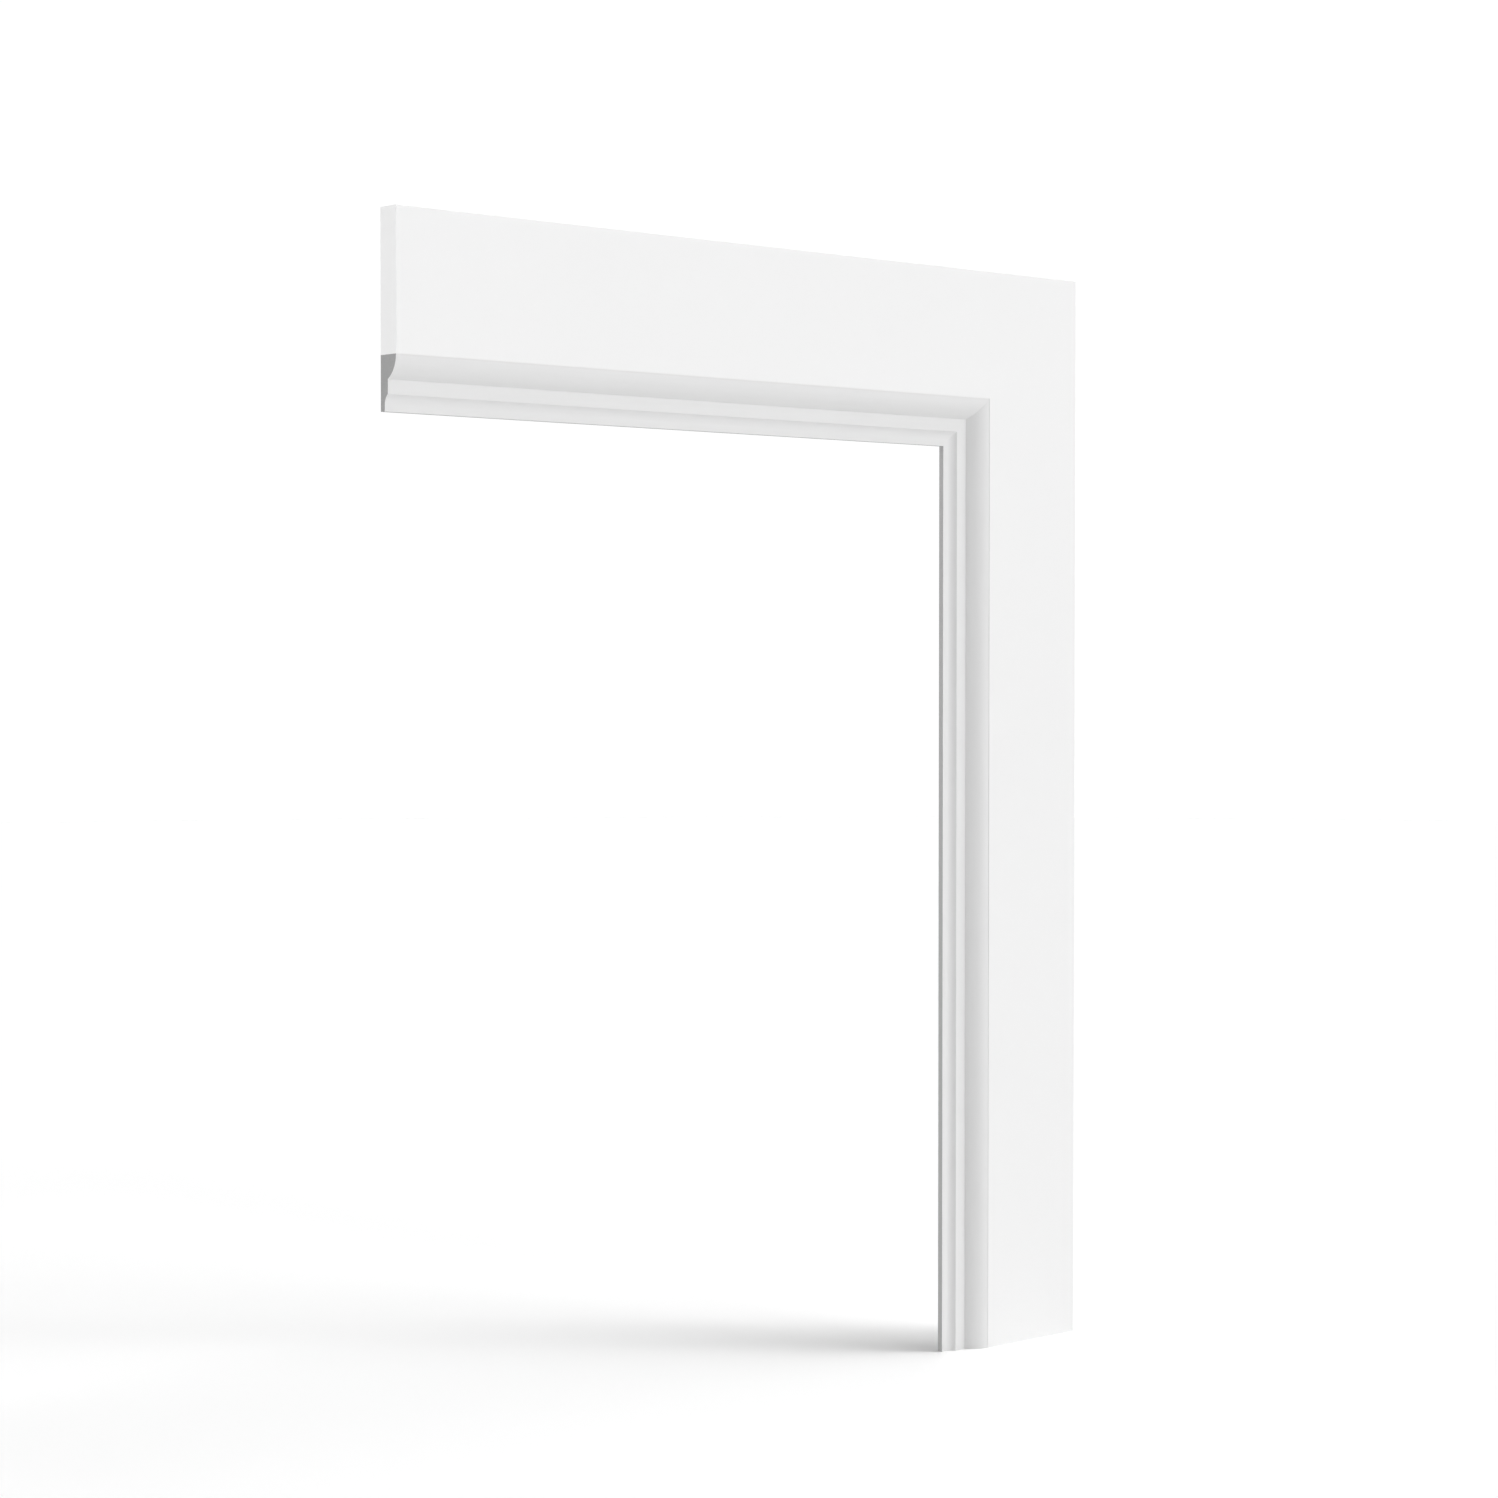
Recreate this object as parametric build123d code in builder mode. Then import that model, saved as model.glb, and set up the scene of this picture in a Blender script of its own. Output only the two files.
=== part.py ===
"""The inner corner of a beaded face frame: two flat boards with a stepped bead moulding mitred inside them.

All sizes are in millimetres. The frame stands upright with its back on the wall plane, y = 0. The front
faces -Y, +Z is up, and the origin is on the back of the upright board, at the middle of its foot.
"""

import os

from build123d import *

os.makedirs("parts", exist_ok=True)

# Overall size, over the outer edges of the two boards
overall_width = 676.0
overall_height = 854.0

# Flat boards, both cut from one thickness of sheet
board_thickness = 18.0
upright_board_width = 100.0
head_board_width = 100.0
arris_radius = 0.3

# Bead moulding: the widths of its members, counted from the board's edge towards the opening
ovolo_width = 16.7
flat_width = 10.0
cove_width = 6.8
lip_width = 4.9

# Thickness that the moulding keeps above the wall at each member
flat_thickness = 8.1
lip_thickness = 4.6
bead_setback = 0.4

# Dowels that join the head board to the upright board
dowel_diameter = 8.0
dowel_length = 40.0
dowel_spacing = 50.0
dowel_chamfer = 1.0
flute_count = 12
flute_depth = 0.4
socket_clearance = 0.05
glue_room = 1.0

# The upright board runs the full height, and the head board butts against its inner edge
outer_edge = upright_board_width / 2
inner_edge = -upright_board_width / 2
cut_end = outer_edge - overall_width
head_underside = overall_height - head_board_width

# The moulding's own outline follows from its members
bead_thickness = board_thickness - bead_setback
flat_end = ovolo_width + flat_width
lip_start = flat_end + cove_width
bead_width = lip_start + lip_width

# The mitre runs at 45 degrees from the boards' inner corner to the moulding's inner corner
mitre = Plane(origin=(inner_edge, 0, head_underside), x_dir=(0, 1, 0), z_dir=(1, 0, -1))

# The butt joint's plane looks into the upright board, with its local x up the joint
joint = Plane(
    origin=(inner_edge, -board_thickness / 2, head_underside + head_board_width / 2),
    x_dir=(0, 0, 1),
    z_dir=(1, 0, 0),
)
dowel_radius = dowel_diameter / 2
socket_depth = dowel_length / 2 + glue_room

# The moulding's section: x runs from the board towards the opening, y from the back to the front
with BuildSketch() as bead_section:
    with BuildLine():
        ovolo = TangentArc((0, bead_thickness), (ovolo_width, flat_thickness), tangent=(1, 0))
        flat = Line(ovolo @ 1, (flat_end, flat_thickness))
        cove = TangentArc((lip_start, lip_thickness), flat @ 1, tangent=(-1, 0))
        lip = Line(cove @ 0, (bead_width, lip_thickness))
        Polyline(lip @ 1, (bead_width, 0), (0, 0), ovolo @ 0)
    make_face()

# The mouths of the two dowel sockets in the joint
with BuildSketch(joint) as sockets:
    with GridLocations(dowel_spacing, 0, 2, 1):
        Circle(dowel_radius + socket_clearance)

# Upright board, from the floor to the top of the frame
with BuildPart() as upright_board:
    with BuildSketch(Plane.XY):
        Rectangle(upright_board_width, board_thickness, align=(Align.CENTER, Align.MAX))
    extrude(amount=overall_height)
    fillet(upright_board.edges().filter_by(Axis.Z).group_by(Axis.X)[-1], arris_radius)
    fillet(upright_board.edges().filter_by(Axis.X).group_by(Axis.Z)[-1], arris_radius)
    extrude(sockets.sketch, amount=socket_depth, mode=Mode.SUBTRACT)

# Head board, from the cut end to the upright board's inner edge
with BuildPart() as head_board:
    with BuildSketch(Plane.YZ.offset(cut_end)):
        with Locations((0, overall_height)):
            Rectangle(board_thickness, head_board_width, align=(Align.MAX, Align.MAX))
    extrude(amount=inner_edge - cut_end)
    fillet(head_board.edges().filter_by(Axis.X).group_by(Axis.Z)[-1], arris_radius)
    extrude(sockets.sketch, amount=-socket_depth, mode=Mode.SUBTRACT)

# Upright length of the moulding, from the floor up to the mitre
with BuildPart() as upright_bead:
    with BuildSketch(Plane(origin=(inner_edge, 0, 0), x_dir=(-1, 0, 0), z_dir=(0, 0, 1))):
        add(bead_section.sketch_local)
    extrude(amount=head_underside)
    split(bisect_by=mitre, keep=Keep.TOP)

# Head length of the moulding, from the mitre out to the cut end
with BuildPart() as head_bead:
    with BuildSketch(Plane(origin=(inner_edge, 0, head_underside), x_dir=(0, 0, -1), z_dir=(-1, 0, 0))):
        add(bead_section.sketch_local)
    extrude(amount=inner_edge - cut_end)
    split(bisect_by=mitre, keep=Keep.BOTTOM)

# One dowel, standing on end, with chamfered rims and grooves along its side that let the glue out
with BuildPart() as dowel:
    Cylinder(dowel_radius, dowel_length)
    chamfer(dowel.edges().filter_by(GeomType.CIRCLE), dowel_chamfer)
    with BuildSketch(Plane.XY.offset(-dowel_length / 2)):
        with PolarLocations(dowel_radius, flute_count):
            RegularPolygon(flute_depth, 4)
    extrude(amount=dowel_length, mode=Mode.SUBTRACT)

# The same dowel in each socket, half in either board
with BuildPart() as upper_dowel:
    with Locations(joint.location * Location((dowel_spacing / 2, 0, 0))):
        add(dowel.part)
with BuildPart() as lower_dowel:
    with Locations(joint.location * Location((-dowel_spacing / 2, 0, 0))):
        add(dowel.part)

upright_board.part.label = "upright_board"
head_board.part.label = "head_board"
upright_bead.part.label = "upright_bead"
head_bead.part.label = "head_bead"
upper_dowel.part.label = "upper_dowel"
lower_dowel.part.label = "lower_dowel"

for piece in (upright_board, head_board, upright_bead, head_bead, upper_dowel, lower_dowel):
    export_step(piece.part, f"parts/{piece.part.label}.step")
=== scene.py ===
"""Looks for the corner of a beaded face frame.

Two painted boards carry a primed bead moulding, mitred inside them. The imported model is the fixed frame, in
metres: the wall plane is y = 0, the moulded front faces -Y, +Z is up, and the floor is at z = 0.
"""

import math

import bmesh
import bpy
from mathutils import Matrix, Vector


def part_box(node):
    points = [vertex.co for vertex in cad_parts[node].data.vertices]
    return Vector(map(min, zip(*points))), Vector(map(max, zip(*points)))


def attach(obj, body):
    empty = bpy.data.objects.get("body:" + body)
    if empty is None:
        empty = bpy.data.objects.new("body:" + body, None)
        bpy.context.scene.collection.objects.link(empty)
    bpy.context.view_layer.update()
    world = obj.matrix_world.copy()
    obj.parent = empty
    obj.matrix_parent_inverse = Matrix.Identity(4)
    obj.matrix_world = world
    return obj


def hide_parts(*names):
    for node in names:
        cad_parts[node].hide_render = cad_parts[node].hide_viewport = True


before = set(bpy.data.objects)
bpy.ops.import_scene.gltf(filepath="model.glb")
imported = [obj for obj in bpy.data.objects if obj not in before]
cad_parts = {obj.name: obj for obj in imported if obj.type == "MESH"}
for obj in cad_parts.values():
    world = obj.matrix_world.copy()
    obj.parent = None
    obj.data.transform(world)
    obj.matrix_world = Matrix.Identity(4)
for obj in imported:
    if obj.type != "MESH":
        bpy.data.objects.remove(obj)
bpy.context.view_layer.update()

bl_info = {
    "name": "Beaded face frame corner",
    "version": (1, 0, 0),
    "blender": (4, 5, 0),
    "location": "3D View > Sidebar > Frame corner",
    "description": "Models and finishes the boards and the mitred bead moulding of a face frame corner",
    "category": "Object",
}

# Directions in the frame
FRONT = Vector((0, -1, 0))
LEFT = Vector((-1, 0, 0))
RIGHT = Vector((1, 0, 0))
UP = Vector((0, 0, 1))
DOWN = Vector((0, 0, -1))
X, Z = 0, 2

# Faces that turn further from the front than this are sawn, keep no primer, and take the darker sawn colours,
# which carry painted shade
PRIMED_LIMIT = -0.25
# Faces that look along the run by more than this are its cut ends, the mitre with them; they take the
# sawn-end colour with its painted shade
END_LIMIT = 0.5
CREASE_ANGLE = math.radians(30)
NEAR = 1e-5

# How finely round things are divided
DOWEL_SOCKET_SIDES = 48
LIP_EASE_SEGMENTS = 3
FLOOR_SIDES = 96

# Most of a noise texture's values lie between these
NOISE_LOW, NOISE_HIGH = 0.3, 0.7
# Sockets of the Mix node when it mixes colours
MIX_A, MIX_B, MIX_RESULT = 6, 7, 2

SENSOR_WIDTH = 36
# A little above 1, so that the backdrop is plain white
BACKDROP_STRENGTH = 1.02


class FRAMECORNER_PG_sizes(bpy.types.PropertyGroup):
    """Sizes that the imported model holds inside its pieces, repeated here in metres."""

    ovolo_width: bpy.props.FloatProperty(
        name="Ovolo width",
        description="Width of the rounded member beside the board",
        default=0.0167,
        subtype="DISTANCE",
    )
    flat_width: bpy.props.FloatProperty(
        name="Flat width",
        description="Width of the flat between the ovolo and the cove",
        default=0.010,
        subtype="DISTANCE",
    )
    cove_width: bpy.props.FloatProperty(
        name="Cove width",
        description="Width of the hollow that runs down to the lip",
        default=0.0068,
        subtype="DISTANCE",
    )
    flat_thickness: bpy.props.FloatProperty(
        name="Flat thickness",
        description="Thickness of the moulding at its flat",
        default=0.0081,
        subtype="DISTANCE",
    )
    lip_thickness: bpy.props.FloatProperty(
        name="Lip thickness",
        description="Thickness of the moulding at its lip",
        default=0.0046,
        subtype="DISTANCE",
    )
    arc_steps: bpy.props.IntProperty(
        name="Arc steps",
        description="Facets round the ovolo and round the cove",
        default=28,
        min=8,
    )
    lip_ease: bpy.props.FloatProperty(
        name="Lip ease",
        description="Radius sanded on the lip's inner edge",
        default=0.0002,
        subtype="DISTANCE",
    )
    arris_radius: bpy.props.FloatProperty(
        name="Arris radius",
        description="Radius on the boards' outer edges",
        default=0.0003,
        subtype="DISTANCE",
    )
    arris_segments: bpy.props.IntProperty(
        name="Arris segments",
        description="Facets round each arris",
        default=5,
        min=1,
    )
    socket_clearance: bpy.props.FloatProperty(
        name="Socket clearance",
        description="Room round each dowel in its socket",
        default=0.00005,
        subtype="DISTANCE",
    )
    glue_room: bpy.props.FloatProperty(
        name="Glue room",
        description="Room left past each end of a dowel",
        default=0.001,
        subtype="DISTANCE",
    )


class FRAMECORNER_PG_finish(bpy.types.PropertyGroup):
    """Colours of the finishes; the two sawn colours carry painted shade."""

    board_colour: bpy.props.FloatVectorProperty(
        name="Board paint",
        description="Satin paint on the flat boards",
        default=(0.915, 0.915, 0.915),
        subtype="COLOR",
        min=0,
        max=1,
    )
    bead_colour: bpy.props.FloatVectorProperty(
        name="Moulding primer",
        description="Matt primer on the moulded front",
        default=(0.84, 0.84, 0.84),
        subtype="COLOR",
        min=0,
        max=1,
    )
    # The sawn end's colour is raw fibreboard darkened further: painted shade for the shade on the moulding's
    # left-facing cut end
    end_colour_painted_shade: bpy.props.FloatVectorProperty(
        name="Sawn end",
        description="Raw fibreboard where the moulding is cut across",
        default=(0.40, 0.40, 0.40),
        subtype="COLOR",
        min=0,
        max=1,
    )
    # The sawn edge's colour is raw fibreboard darkened as painted shade, and kept lighter than the sawn end's
    # as painted light for the light that the inner edge catches
    edge_colour_painted_shade: bpy.props.FloatVectorProperty(
        name="Sawn edge",
        description="Raw fibreboard along the moulding's inner edge and its back",
        default=(0.47, 0.47, 0.47),
        subtype="COLOR",
        min=0,
        max=1,
    )
    beech_colour: bpy.props.FloatVectorProperty(
        name="Beech",
        description="Bare beech of the dowels",
        default=(0.62, 0.45, 0.28),
        subtype="COLOR",
        min=0,
        max=1,
    )


class FRAMECORNER_PG_stage(bpy.types.PropertyGroup):
    """Camera, lamps and floor."""

    camera_place: bpy.props.FloatVectorProperty(
        name="Camera place",
        description="Where the camera stands",
        default=(-1.9468, -1.83995, 0.54593),
        subtype="TRANSLATION",
    )
    camera_turn: bpy.props.FloatProperty(
        name="Camera turn",
        description="How far the camera looks to the right of the frame's front",
        default=math.radians(42.0031),
        subtype="ANGLE",
    )
    camera_tilt: bpy.props.FloatProperty(
        name="Camera tilt",
        description="How far the camera looks down",
        default=math.radians(1.5039),
        subtype="ANGLE",
    )
    lens: bpy.props.FloatProperty(
        name="Lens",
        description="Focal length for a 36 mm wide sensor, in millimetres",
        default=79.558,
    )
    glow: bpy.props.FloatProperty(
        name="Horizon glow",
        description="Strength of the even light from all round the horizon",
        default=0.94,
        min=0,
    )
    glow_height: bpy.props.FloatProperty(
        name="Glow height",
        description="How high above the horizon the glow fades out",
        default=math.radians(30),
        subtype="ANGLE",
    )
    floor_colour: bpy.props.FloatVectorProperty(
        name="Floor",
        description="Colour by which the floor lights the frame corner",
        default=(0.80, 0.80, 0.80),
        subtype="COLOR",
        min=0,
        max=1,
    )
    floor_seen: bpy.props.FloatVectorProperty(
        name="Floor as seen",
        description="Colour that the camera sees on the floor, so that it is white where no shadow falls",
        default=(1.0, 1.0, 1.0),
        subtype="COLOR",
        min=0,
        max=1,
    )
    floor_radius: bpy.props.FloatProperty(
        name="Floor radius",
        description="Radius of the plain round floor",
        default=9.0,
        subtype="DISTANCE",
    )


def deselect_all():
    """Leave nothing selected, so that an operator acts only on what comes next."""
    if bpy.context.object and bpy.context.object.mode != "OBJECT":
        bpy.ops.object.mode_set(mode="OBJECT")
    bpy.ops.object.select_all(action="DESELECT")


def select_edges(piece, wanted):
    """In edit mode, select just the edges that wanted(edge) picks."""
    bpy.ops.mesh.select_mode(type="EDGE")
    bpy.ops.mesh.select_all(action="DESELECT")
    mesh = bmesh.from_edit_mesh(piece.data)
    for edge in mesh.edges:
        if wanted(edge):
            edge.select_set(True)
    mesh.select_flush_mode()
    bmesh.update_edit_mesh(piece.data)


def lies_at(edge, axis, value):
    """Whether both ends of the edge have this value on the axis."""
    return all(abs(vertex.co[axis] - value) < NEAR for vertex in edge.verts)


def runs_along(edge, axis):
    """Whether the edge is parallel to the axis."""
    way = edge.verts[1].co - edge.verts[0].co
    return abs(abs(way[axis]) - way.length) < NEAR


def finish_piece(piece, name, node):
    """Name a finished piece, smooth its curves, keep its flats flat, and let it stand for its node."""
    piece.name = name
    piece.data.name = name
    deselect_all()
    piece.select_set(True)
    bpy.context.view_layer.objects.active = piece
    bpy.ops.object.shade_smooth_by_angle(angle=CREASE_ANGLE)
    level = piece.modifiers.new("Level faces", "WEIGHTED_NORMAL")
    level.keep_sharp = True
    bpy.ops.object.modifier_apply(modifier=level.name)
    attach(piece, "root")
    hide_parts(node)
    deselect_all()


def new_material(name, roughness, gloss=0.5):
    """Return a node material with its tree, its shader and its Object coordinates."""
    material = bpy.data.materials.new(name)
    material.use_nodes = True
    tree = material.node_tree
    shader = tree.nodes["Principled BSDF"]
    shader.inputs["Roughness"].default_value = roughness
    shader.inputs["Specular IOR Level"].default_value = gloss
    coordinates = tree.nodes.new("ShaderNodeTexCoord")
    return material, tree, shader, coordinates.outputs["Object"]


def add_noise(tree, vector, scale, detail, stretch=(1, 1, 1)):
    """Return the value of a noise texture, stretched where a finish runs one way."""
    mapping = tree.nodes.new("ShaderNodeMapping")
    mapping.inputs["Scale"].default_value = stretch
    tree.links.new(vector, mapping.inputs["Vector"])
    noise = tree.nodes.new("ShaderNodeTexNoise")
    noise.inputs["Scale"].default_value = scale
    noise.inputs["Detail"].default_value = detail
    tree.links.new(mapping.outputs["Vector"], noise.inputs["Vector"])
    return noise.outputs[0]


def add_range(tree, value, low, high):
    """Spread a noise value over low to high."""
    spread = tree.nodes.new("ShaderNodeMapRange")
    spread.inputs["From Min"].default_value = NOISE_LOW
    spread.inputs["From Max"].default_value = NOISE_HIGH
    spread.inputs["To Min"].default_value = low
    spread.inputs["To Max"].default_value = high
    tree.links.new(value, spread.inputs["Value"])
    return spread.outputs["Result"]


def add_tint(tree, colour, factor):
    """Return the colour, made lighter and darker by the factor."""
    mix = tree.nodes.new("ShaderNodeMix")
    mix.data_type = "RGBA"
    mix.blend_type = "MULTIPLY"
    mix.inputs["Factor"].default_value = 1
    mix.inputs[MIX_A].default_value = (*colour, 1)
    tree.links.new(factor, mix.inputs[MIX_B])
    return mix.outputs[MIX_RESULT]


def add_bump(tree, shader, height, distance, strength):
    """Raise the surface by the height value, to a depth in metres."""
    bump = tree.nodes.new("ShaderNodeBump")
    bump.inputs["Distance"].default_value = distance
    bump.inputs["Strength"].default_value = strength
    tree.links.new(height, bump.inputs["Height"])
    tree.links.new(bump.outputs["Normal"], shader.inputs["Normal"])


def board_paint():
    """Satin paint from a fine foam roller: nearly flat, with a faint stipple and a slow drift in tone."""
    satin, spread = 0.32, 0.03
    material, tree, shader, place = new_material("satin_paint", roughness=satin, gloss=0.2)
    colour = bpy.context.scene.framecorner_finish.board_colour
    drift = add_range(tree, add_noise(tree, place, scale=3, detail=2), low=0.994, high=1.006)
    tree.links.new(add_tint(tree, colour, drift), shader.inputs["Base Color"])
    patches = add_noise(tree, place, scale=40, detail=2)
    sheen = add_range(tree, patches, low=satin - spread, high=satin + spread)
    tree.links.new(sheen, shader.inputs["Roughness"])
    stipple = add_noise(tree, place, scale=650, detail=2)
    add_bump(tree, shader, stipple, distance=0.00002, strength=0.25)
    return material


def bead_primer(name, stretch):
    """Matt primer over the cutters' path: a tone that streaks very lightly along the run."""
    material, tree, shader, place = new_material(name, roughness=0.7, gloss=0.2)
    colour = bpy.context.scene.framecorner_finish.bead_colour
    path = add_noise(tree, place, scale=260, detail=3, stretch=stretch)
    streaks = add_range(tree, path, low=0.992, high=1.008)
    tree.links.new(add_tint(tree, colour, streaks), shader.inputs["Base Color"])
    ripple = add_noise(tree, place, scale=900, detail=2, stretch=stretch)
    add_bump(tree, shader, ripple, distance=0.00002, strength=0.2)
    return material


def raw_fibreboard_painted_shade(name, colour):
    """Sawn fibreboard: short pale and dark fibres, felted in every direction, over a given colour darkened as
    painted shade.
    """
    material, tree, shader, place = new_material(name, roughness=0.9, gloss=0.1)
    flecks = add_range(tree, add_noise(tree, place, scale=1400, detail=4), low=0.95, high=1.05)
    tree.links.new(add_tint(tree, colour, flecks), shader.inputs["Base Color"])
    fibres = add_noise(tree, place, scale=2200, detail=3)
    add_bump(tree, shader, fibres, distance=0.00006, strength=0.4)
    return material


def dowel_beech():
    """Bare beech with its pores drawn out along the dowel."""
    along_grain = (0.08, 1, 1)
    material, tree, shader, place = new_material("turned_beech", roughness=0.65)
    colour = bpy.context.scene.framecorner_finish.beech_colour
    grain = add_noise(tree, place, scale=900, detail=3, stretch=along_grain)
    pores = add_range(tree, grain, low=0.86, high=1.08)
    tree.links.new(add_tint(tree, colour, pores), shader.inputs["Base Color"])
    furrows = add_noise(tree, place, scale=1200, detail=2, stretch=along_grain)
    add_bump(tree, shader, furrows, distance=0.00004, strength=0.3)
    return material


def inner_corner():
    """The point on the wall plane where the two boards' inner edges meet."""
    return Vector((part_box("upright_board")[0].x, 0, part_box("head_board")[0].z))


def model_board(node, outer_edges):
    """Return a board the size of its node, with arrises on the outer edges and sockets for the dowels."""
    sizes = bpy.context.scene.framecorner_sizes
    low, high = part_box(node)
    deselect_all()
    bpy.ops.mesh.primitive_cube_add(size=1, location=(low + high) / 2, scale=high - low)
    board = bpy.context.object
    bpy.ops.object.transform_apply(location=True, rotation=True, scale=True)
    bpy.ops.object.mode_set(mode="EDIT")
    select_edges(board, outer_edges)
    bpy.ops.mesh.bevel(offset=sizes.arris_radius, segments=sizes.arris_segments, affect="EDGES")
    bpy.ops.object.mode_set(mode="OBJECT")
    for dowel in ("upper_dowel", "lower_dowel"):
        bore_socket(board, dowel)
    return board


def bore_socket(board, dowel):
    """Cut one dowel's socket into the board, with room round the dowel and past its end."""
    sizes = bpy.context.scene.framecorner_sizes
    low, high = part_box(dowel)
    centre = (low + high) / 2
    centre.x = inner_corner().x
    deselect_all()
    bpy.ops.mesh.primitive_cylinder_add(
        vertices=DOWEL_SOCKET_SIDES,
        radius=(high.z - low.z) / 2 + sizes.socket_clearance,
        depth=high.x - low.x + 2 * sizes.glue_room,
        location=centre,
        rotation=(0, math.radians(90), 0),
    )
    drill = bpy.context.object
    deselect_all()
    board.select_set(True)
    bpy.context.view_layer.objects.active = board
    cut = board.modifiers.new("Socket", "BOOLEAN")
    cut.operation = "DIFFERENCE"
    cut.solver = "EXACT"
    cut.object = drill
    bpy.ops.object.modifier_apply(modifier=cut.name)
    bpy.data.objects.remove(drill)


def model_moulding(into_opening, along, length):
    """Return a length of moulding: its section drawn and spun, pushed along, and cut at the mitre."""
    sizes = bpy.context.scene.framecorner_sizes
    low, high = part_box("upright_bead")
    bead_width, bead_thickness = high.x - low.x, high.y - low.y
    flat_end = sizes.ovolo_width + sizes.flat_width
    lip_start = flat_end + sizes.cove_width
    start = inner_corner() - along * length

    def place(across, thickness):
        """Return the point of the section this far from the board and this far off the wall."""
        return start + into_opening * across + FRONT * thickness

    def draw_to(across, thickness, was):
        """Draw the section's next straight line, from where it was, and return its end."""
        here = place(across, thickness)
        bpy.ops.mesh.extrude_vertices_move(TRANSFORM_OT_translate={"value": here - was})
        return here

    # A small plane, merged to a point at the crown, starts the section
    deselect_all()
    bpy.ops.mesh.primitive_plane_add(size=0.001)
    piece = bpy.context.object
    bpy.ops.object.mode_set(mode="EDIT")
    bpy.ops.mesh.select_mode(type="VERT")
    bpy.ops.mesh.merge(type="CENTER")
    bpy.ops.transform.translate(value=place(0, bead_thickness))

    ovolo_drop = bead_thickness - sizes.flat_thickness
    ovolo_radius = (sizes.ovolo_width**2 + ovolo_drop**2) / (2 * ovolo_drop)
    bpy.ops.mesh.spin(
        steps=sizes.arc_steps,
        angle=math.asin(sizes.ovolo_width / ovolo_radius),
        center=place(0, bead_thickness - ovolo_radius),
        axis=into_opening.cross(FRONT),
    )
    draw_to(flat_end, sizes.flat_thickness, place(sizes.ovolo_width, sizes.flat_thickness))

    cove_drop = sizes.flat_thickness - sizes.lip_thickness
    cove_radius = (sizes.cove_width**2 + cove_drop**2) / (2 * cove_drop)
    bpy.ops.mesh.spin(
        steps=sizes.arc_steps // 2,
        angle=math.asin(sizes.cove_width / cove_radius),
        center=place(lip_start, sizes.lip_thickness + cove_radius),
        axis=FRONT.cross(into_opening),
    )
    lip = draw_to(bead_width, sizes.lip_thickness, place(lip_start, sizes.lip_thickness))
    inner_back = draw_to(bead_width, 0, lip)
    outer_back = draw_to(0, 0, inner_back)
    draw_to(0, bead_thickness, outer_back)

    bpy.ops.mesh.select_all(action="SELECT")
    bpy.ops.mesh.remove_doubles(threshold=NEAR)
    bpy.ops.mesh.edge_face_add()
    bpy.ops.mesh.extrude_region_move(TRANSFORM_OT_translate={"value": along * length})
    bpy.ops.mesh.select_all(action="SELECT")
    bpy.ops.mesh.normals_make_consistent(inside=False)

    run = Z if along.z else X
    select_edges(piece, lambda edge: runs_along(edge, run) and all(
        (vertex.co - lip).cross(along).length < NEAR for vertex in edge.verts
    ))
    bpy.ops.mesh.bevel(offset=sizes.lip_ease, segments=LIP_EASE_SEGMENTS, affect="EDGES")

    bpy.ops.mesh.select_all(action="SELECT")
    bpy.ops.mesh.bisect(
        plane_co=inner_corner(),
        plane_no=along + into_opening,
        use_fill=True,
        clear_outer=True,
    )
    bpy.ops.mesh.select_all(action="SELECT")
    bpy.ops.mesh.normals_make_consistent(inside=False)
    bpy.ops.object.mode_set(mode="OBJECT")
    return piece


def prime_front(piece, along, primer, sawn_end_painted_shade, sawn_edge_painted_shade):
    """Primer on the moulded front, and raw fibreboard darkened with painted shade on the faces where the
    length was sawn.
    """
    for material in (primer, sawn_end_painted_shade, sawn_edge_painted_shade):
        piece.data.materials.append(material)
    for face in piece.data.polygons:
        if abs(face.normal.dot(along)) > END_LIMIT:
            face.material_index = 1
        elif face.normal.y < PRIMED_LIMIT:
            face.material_index = 0
        else:
            face.material_index = 2


class FRAMECORNER_OT_boards(bpy.types.Operator):
    """Model the upright board and the head board, with their arrises and dowel sockets, and paint them"""

    bl_idname = "framecorner.boards"
    bl_label = "Boards"

    def execute(self, context):
        paint = board_paint()
        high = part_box("upright_board")[1]
        upright = model_board("upright_board", lambda edge: (
            runs_along(edge, Z) and lies_at(edge, X, high.x)
            or runs_along(edge, X) and lies_at(edge, Z, high.z)
        ))
        head = model_board("head_board", lambda edge: runs_along(edge, X) and lies_at(edge, Z, high.z))
        for board, name, node in (
            (upright, "painted_upright_board", "upright_board"),
            (head, "painted_head_board", "head_board"),
        ):
            board.data.materials.append(paint)
            finish_piece(board, name, node)
        return {"FINISHED"}


class FRAMECORNER_OT_moulding(bpy.types.Operator):
    """Model both lengths of the bead moulding, mitred at the corner, and prime their fronts"""

    bl_idname = "framecorner.moulding"
    bl_label = "Bead moulding"

    def execute(self, context):
        corner = inner_corner()
        finish = context.scene.framecorner_finish
        # Both sawn colours are raw fibreboard with painted shade; the edge's is kept lighter as painted light
        sawn_end_painted_shade = raw_fibreboard_painted_shade("sawn_end_painted_shade", finish.end_colour_painted_shade)
        sawn_edge_painted_shade = raw_fibreboard_painted_shade("sawn_edge_painted_shade", finish.edge_colour_painted_shade)
        upright = model_moulding(LEFT, UP, corner.z)
        primer = bead_primer("bead_primer_upright", stretch=(1, 1, 0.02))
        prime_front(upright, UP, primer, sawn_end_painted_shade, sawn_edge_painted_shade)
        finish_piece(upright, "primed_upright_bead", "upright_bead")
        head = model_moulding(DOWN, RIGHT, corner.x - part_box("head_bead")[0].x)
        primer = bead_primer("bead_primer_head", stretch=(0.02, 1, 1))
        prime_front(head, RIGHT, primer, sawn_end_painted_shade, sawn_edge_painted_shade)
        finish_piece(head, "primed_head_bead", "head_bead")
        return {"FINISHED"}


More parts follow.
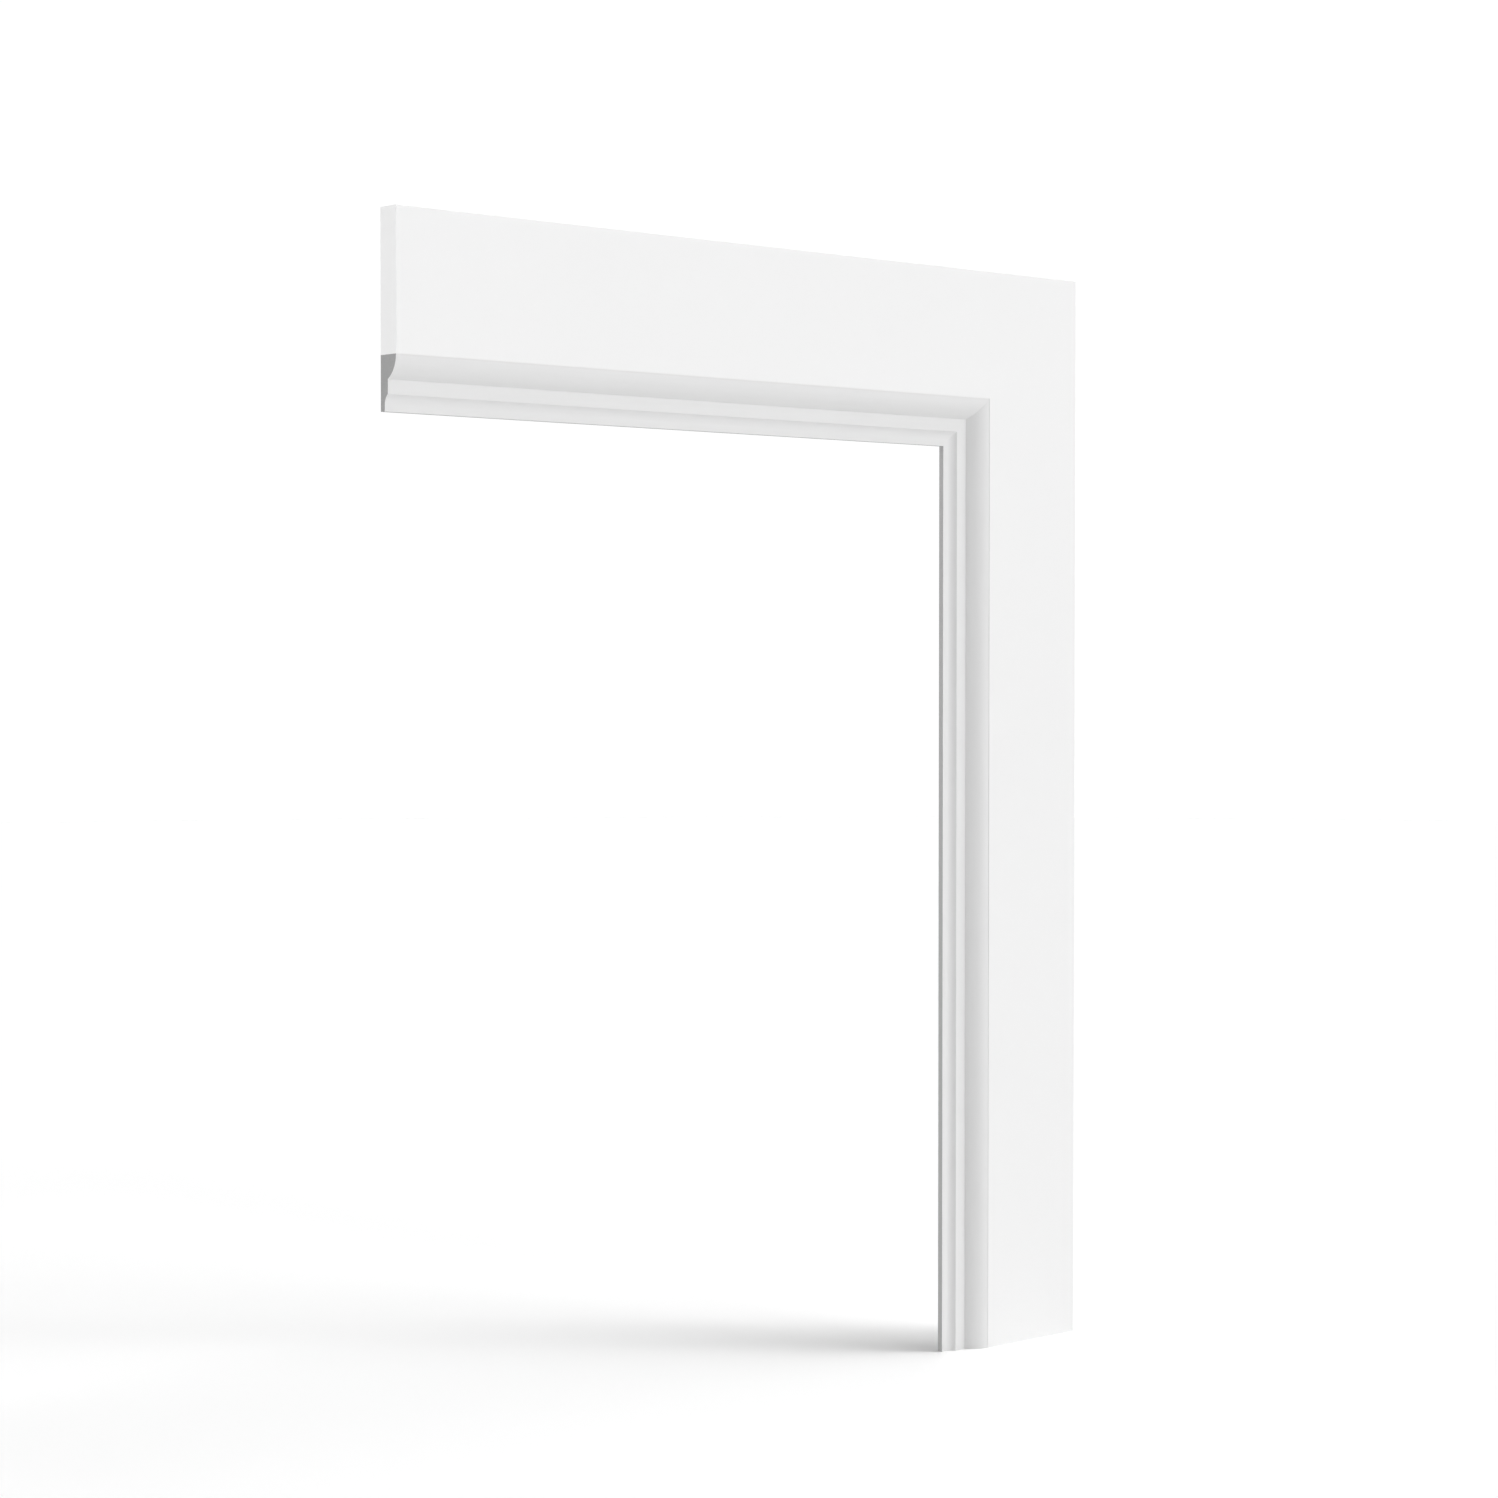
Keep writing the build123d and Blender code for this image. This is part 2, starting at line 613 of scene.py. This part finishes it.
class FRAMECORNER_OT_dowels(bpy.types.Operator):
    """Give the dowels that join the boards their beech"""

    bl_idname = "framecorner.dowels"
    bl_label = "Dowels"

    def execute(self, context):
        beech = dowel_beech()
        for node in ("upper_dowel", "lower_dowel"):
            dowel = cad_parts[node]
            dowel.data.materials.clear()
            dowel.data.materials.append(beech)
        return {"FINISHED"}


# Each lamp: how far it stands to the right of the front, its height and its softness, all in degrees, and its
# strength, where 1 would light a white surface that faces it to full white
LAMPS = (
    ("front", 4, 32, 8, 0.05),
    ("front_right", 29, 35, 18, 0.10),
    ("right", 45, 27, 8, 0.10),
    ("right_box", 45, 38, 25, 0.19),
    ("right_wall", 50, 30, 90, 0.10),
    ("high_box", 65, 65, 25, 0.29),
    ("side", 90, 60, 40, 0.24),
    ("back_left", -125, 15, 90, 0.50),
)


def seen_directly(tree):
    """Return 1 for what the camera sees, straight, in a gloss or through glass, and 0 for other light."""
    path = tree.nodes.new("ShaderNodeLightPath")
    total = path.outputs["Is Camera Ray"]
    for output in ("Is Glossy Ray", "Is Transmission Ray"):
        add = tree.nodes.new("ShaderNodeMath")
        add.operation = "MAXIMUM"
        tree.links.new(total, add.inputs[0])
        tree.links.new(path.outputs[output], add.inputs[1])
        total = add.outputs[0]
    return total


def light_the_world(glow, glow_height):
    """A glow all round the horizon that fades out with height, in front of a white backdrop."""
    world = bpy.context.scene.world or bpy.data.worlds.new("studio")
    bpy.context.scene.world = world
    world.use_nodes = True
    tree = world.node_tree
    tree.nodes.clear()
    direction = tree.nodes.new("ShaderNodeTexCoord")
    height = tree.nodes.new("ShaderNodeSeparateXYZ")
    fade = tree.nodes.new("ShaderNodeMapRange")
    fade.inputs["From Max"].default_value = math.sin(glow_height)
    fade.inputs["To Min"].default_value = glow
    fade.inputs["To Max"].default_value = 0
    tree.links.new(direction.outputs["Generated"], height.inputs[0])
    tree.links.new(height.outputs["Z"], fade.inputs["Value"])
    even = tree.nodes.new("ShaderNodeBackground")
    tree.links.new(fade.outputs["Result"], even.inputs["Strength"])
    white = tree.nodes.new("ShaderNodeBackground")
    white.inputs["Strength"].default_value = BACKDROP_STRENGTH
    mix = tree.nodes.new("ShaderNodeMixShader")
    out = tree.nodes.new("ShaderNodeOutputWorld")
    for background in (even, white):
        background.inputs["Color"].default_value = (1, 1, 1, 1)
    tree.links.new(seen_directly(tree), mix.inputs["Fac"])
    tree.links.new(even.outputs[0], mix.inputs[1])
    tree.links.new(white.outputs[0], mix.inputs[2])
    tree.links.new(mix.outputs[0], out.inputs["Surface"])


def floor_material(colour, seen):
    """A matt floor that the camera sees a little lighter, and so white, with the shadow left in it."""
    material = bpy.data.materials.new("plain_floor")
    material.use_nodes = True
    tree = material.node_tree
    tree.nodes.clear()
    mix = tree.nodes.new("ShaderNodeMix")
    mix.data_type = "RGBA"
    mix.inputs[MIX_A].default_value = (*colour, 1)
    mix.inputs[MIX_B].default_value = (*seen, 1)
    tree.links.new(seen_directly(tree), mix.inputs["Factor"])
    matt = tree.nodes.new("ShaderNodeBsdfDiffuse")
    tree.links.new(mix.outputs[MIX_RESULT], matt.inputs["Color"])
    out = tree.nodes.new("ShaderNodeOutputMaterial")
    tree.links.new(matt.outputs[0], out.inputs["Surface"])
    return material


class FRAMECORNER_OT_stage(bpy.types.Operator):
    """Add the plain floor, the lamps and the camera"""

    bl_idname = "framecorner.stage"
    bl_label = "Stage"

    def execute(self, context):
        stage = context.scene.framecorner_stage
        deselect_all()
        bpy.ops.mesh.primitive_circle_add(vertices=FLOOR_SIDES, radius=stage.floor_radius, fill_type="NGON")
        floor = context.object
        floor.name = "floor"
        floor.data.materials.append(floor_material(stage.floor_colour, stage.floor_seen))
        for name, right_of_front, height, softness, strength in LAMPS:
            bpy.ops.object.light_add(type="SUN", rotation=(
                math.radians(90 - height), 0, math.radians(right_of_front)
            ))
            lamp = context.object
            lamp.name = f"lamp_{name}"
            lamp.data.energy = strength * math.pi
            lamp.data.angle = math.radians(softness)
        light_the_world(stage.glow, stage.glow_height)
        bpy.ops.object.camera_add(
            location=stage.camera_place,
            rotation=(math.radians(90) - stage.camera_tilt, 0, -stage.camera_turn),
        )
        camera = context.object
        camera.data.sensor_width = SENSOR_WIDTH
        camera.data.lens = stage.lens
        context.scene.camera = camera
        context.scene.view_settings.view_transform = "Standard"
        deselect_all()
        return {"FINISHED"}


class FRAMECORNER_PT_panel(bpy.types.Panel):
    """Operators and settings of the frame corner"""

    bl_idname = "FRAMECORNER_PT_panel"
    bl_label = "Frame corner"
    bl_space_type = "VIEW_3D"
    bl_region_type = "UI"
    bl_category = "Frame corner"

    def draw(self, context):
        for operator in OPERATORS:
            self.layout.operator(operator.bl_idname)
        for group in (
            context.scene.framecorner_sizes,
            context.scene.framecorner_finish,
            context.scene.framecorner_stage,
        ):
            box = self.layout.box()
            for name in group.__annotations__:
                box.prop(group, name)


OPERATORS = (
    FRAMECORNER_OT_boards,
    FRAMECORNER_OT_moulding,
    FRAMECORNER_OT_dowels,
    FRAMECORNER_OT_stage,
)
CLASSES = (
    FRAMECORNER_PG_sizes,
    FRAMECORNER_PG_finish,
    FRAMECORNER_PG_stage,
    *OPERATORS,
    FRAMECORNER_PT_panel,
)


def register():
    """Register the classes and hang the settings on the scene."""
    for item in CLASSES:
        bpy.utils.register_class(item)
    bpy.types.Scene.framecorner_sizes = bpy.props.PointerProperty(type=FRAMECORNER_PG_sizes)
    bpy.types.Scene.framecorner_finish = bpy.props.PointerProperty(type=FRAMECORNER_PG_finish)
    bpy.types.Scene.framecorner_stage = bpy.props.PointerProperty(type=FRAMECORNER_PG_stage)


def unregister():
    """Take the settings and the classes away again."""
    del bpy.types.Scene.framecorner_stage
    del bpy.types.Scene.framecorner_finish
    del bpy.types.Scene.framecorner_sizes
    for item in reversed(CLASSES):
        bpy.utils.unregister_class(item)


def main():
    """Model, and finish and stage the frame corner."""
    register()
    bpy.ops.framecorner.boards()
    bpy.ops.framecorner.moulding()
    bpy.ops.framecorner.dowels()
    bpy.ops.framecorner.stage()


if __name__ == "__main__":
    main()
